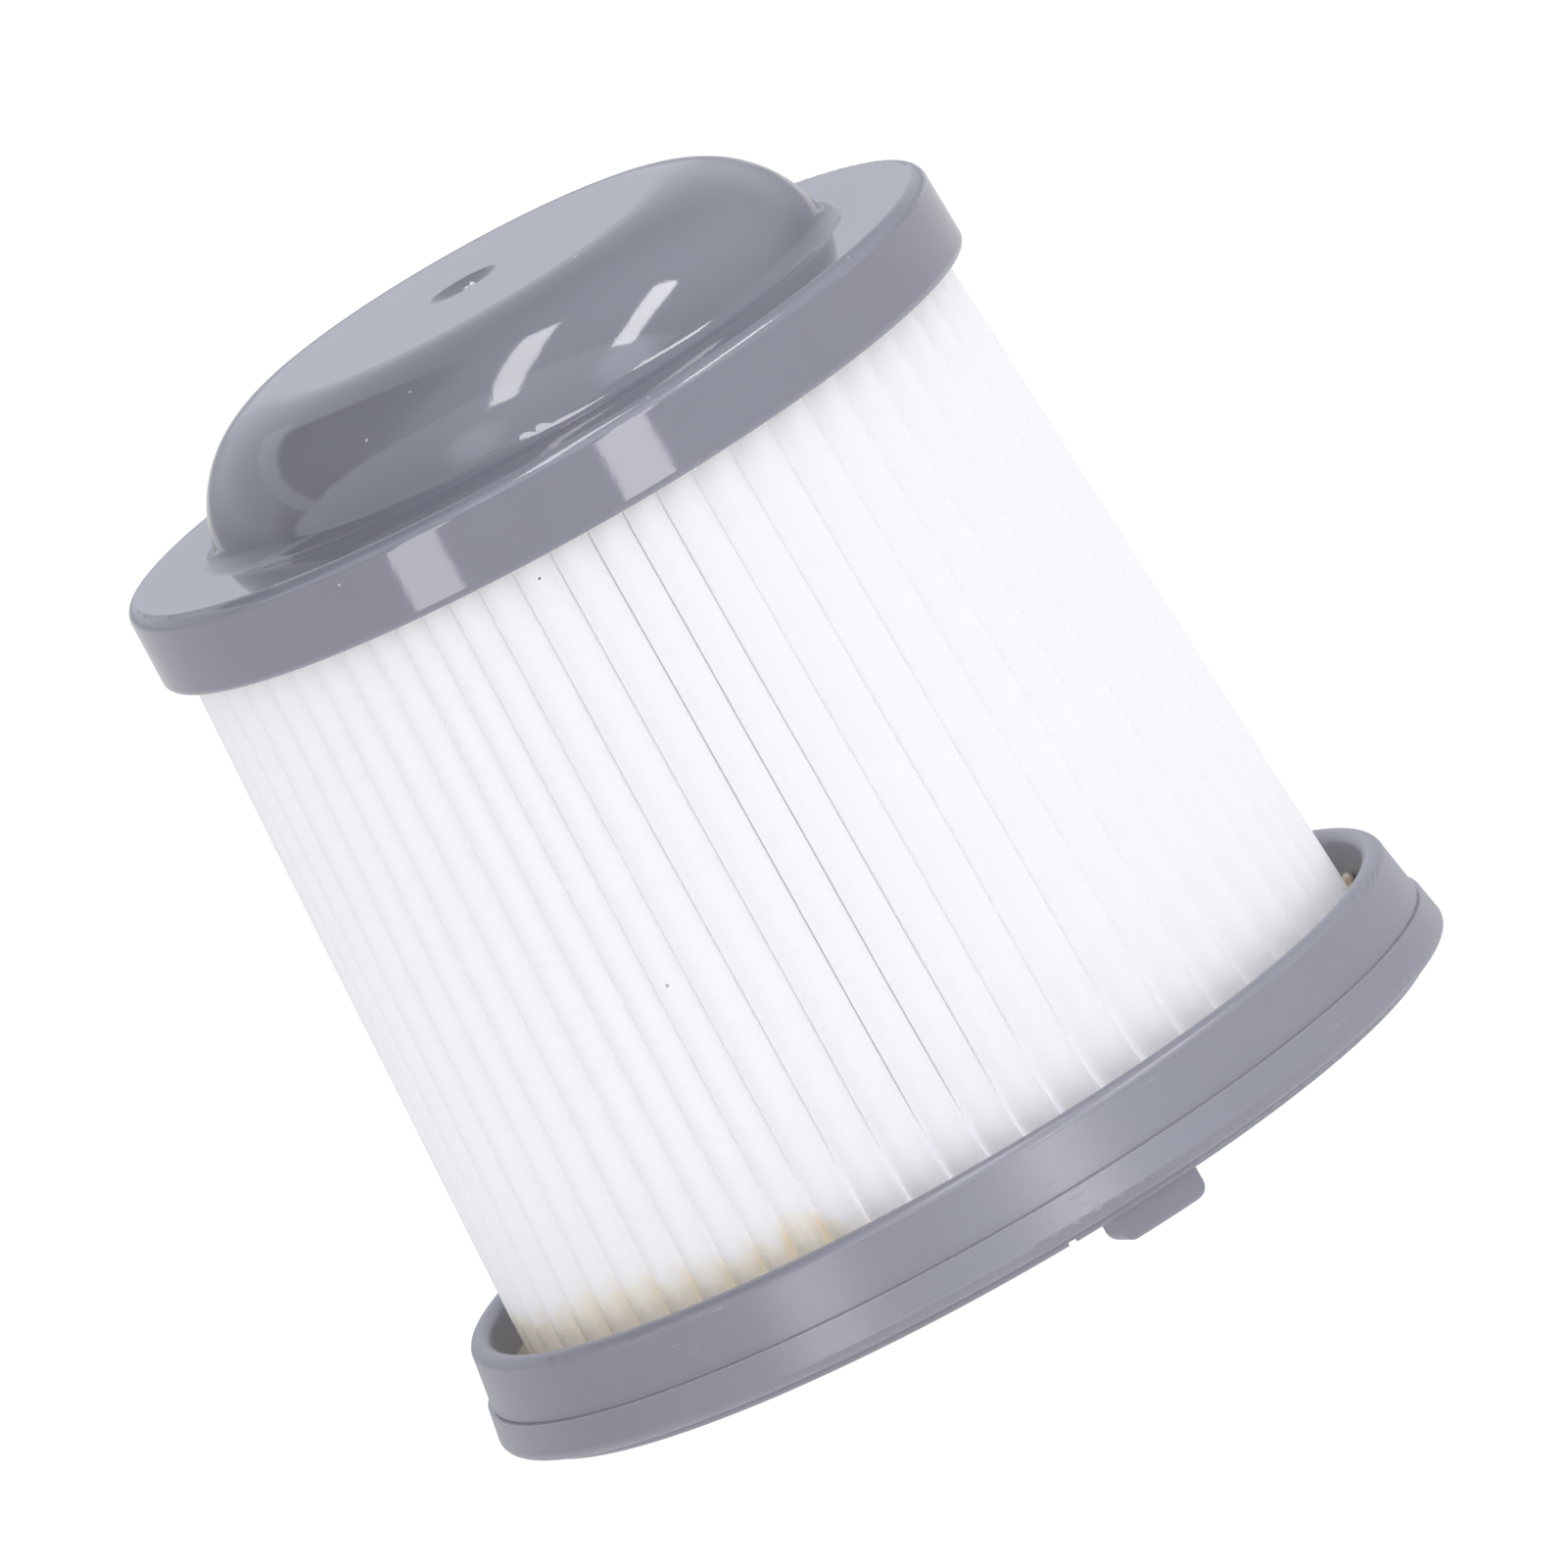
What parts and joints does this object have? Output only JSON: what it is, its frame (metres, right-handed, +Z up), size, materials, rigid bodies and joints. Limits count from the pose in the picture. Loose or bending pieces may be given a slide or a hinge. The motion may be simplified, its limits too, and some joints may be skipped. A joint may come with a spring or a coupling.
{
  "type": "vacuum filter cartridge",
  "caption": "Tapered pleated filter cartridge with a domed end cap and an open base ring with lugs; air passes in through the pleats and out through the base.",
  "frame": {"origin": "centre of the bounding box on the plane that the lug tips stand on, on the filter's axis", "axes": "+Z up along the filter's axis from the outlet to the dome, -Y towards the side that the picture shows, +X to its right"},
  "size_m": [0.0964, 0.0964, 0.0972],
  "materials": {
    "grey_plastic": "glossy injection-moulded cool grey plastic, lightly scuffed",
    "white_felt": "matt white non-woven felt, folded",
    "potting_resin": "beige cast potting resin, wet-looking where it has climbed the folds"
  },
  "bodies": {
    "root": {"base_ring": "grey_plastic", "base_resin": "potting_resin", "pleated_felt": "white_felt", "seam_bead": "potting_resin", "cap_resin": "potting_resin", "end_cap": "grey_plastic"}
  },
  "joints": []
}
